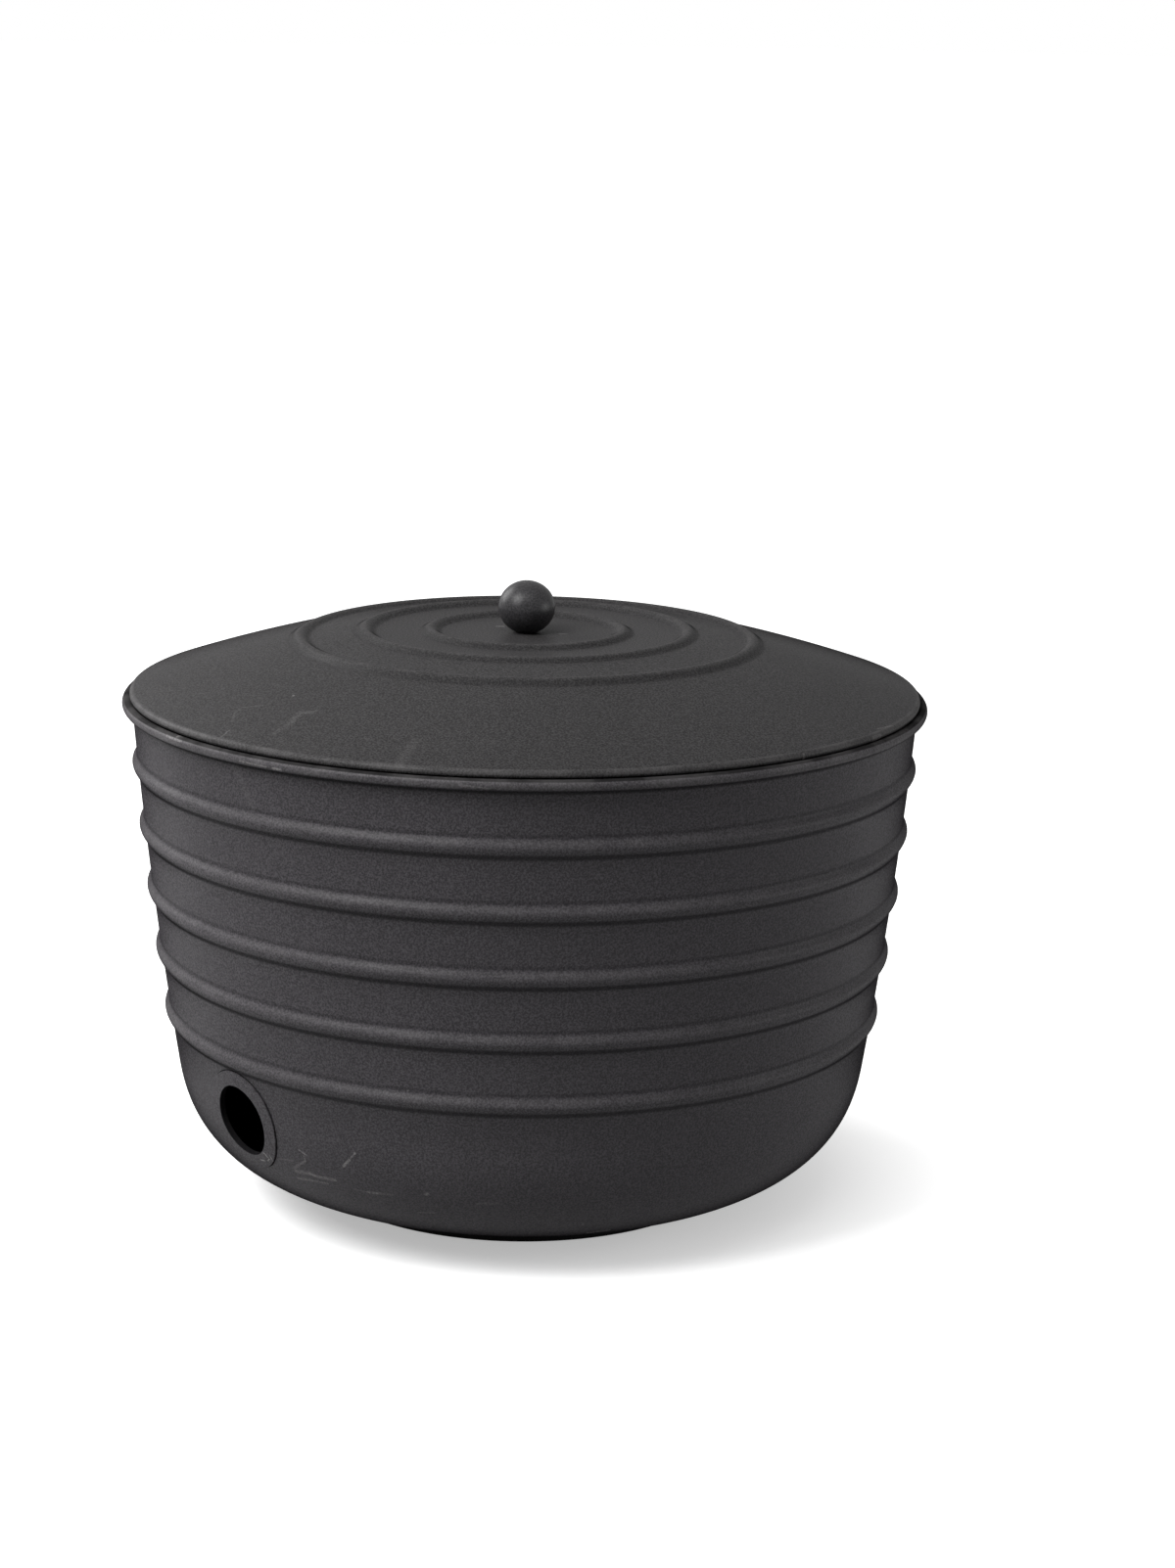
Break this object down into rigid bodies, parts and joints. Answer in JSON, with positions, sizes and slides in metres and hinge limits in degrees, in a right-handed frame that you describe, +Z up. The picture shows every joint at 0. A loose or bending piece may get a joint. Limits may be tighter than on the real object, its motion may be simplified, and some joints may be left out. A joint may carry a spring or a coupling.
{
  "type": "garden hose pot",
  "caption": "Round beaded sheet-metal pot that stores a coiled garden hose, with an eyelet near the base for the hose and a loose raised-ring lid lifted by a ball knob",
  "frame": {"origin": "centre of the pot's footprint on the ground, in the underside of the foot ring", "axes": "+Z up along the pot's axis, the shortest overall extent; -Y towards the hose eyelet; +X to the right when facing the eyelet"},
  "size_m": [0.4299, 0.43, 0.3317],
  "materials": {
    "powder_coat": "matte charcoal powder coat with a fine texture",
    "powder_coat_dark": "matte charcoal powder coat, thin, on hidden pieces",
    "zinc_plate": "bright zinc plate"
  },
  "bodies": {
    "pot": {"pot_shell": "powder_coat", "foot_ring": "powder_coat_dark", "hose_eyelet": "powder_coat", "eyelet_backing_washer": "powder_coat_dark"},
    "lid": {"lid_shell": "powder_coat", "lid_locating_ring": "powder_coat_dark", "knob_ball": "powder_coat", "knob_screw": "zinc_plate", "knob_washer": "zinc_plate"}
  },
  "joints": [
    {"name": "lid_lift", "type": "slide", "parent": "pot", "child": "lid", "axis": [0, 0, 1], "range_m": [0, 0.2]}
  ]
}
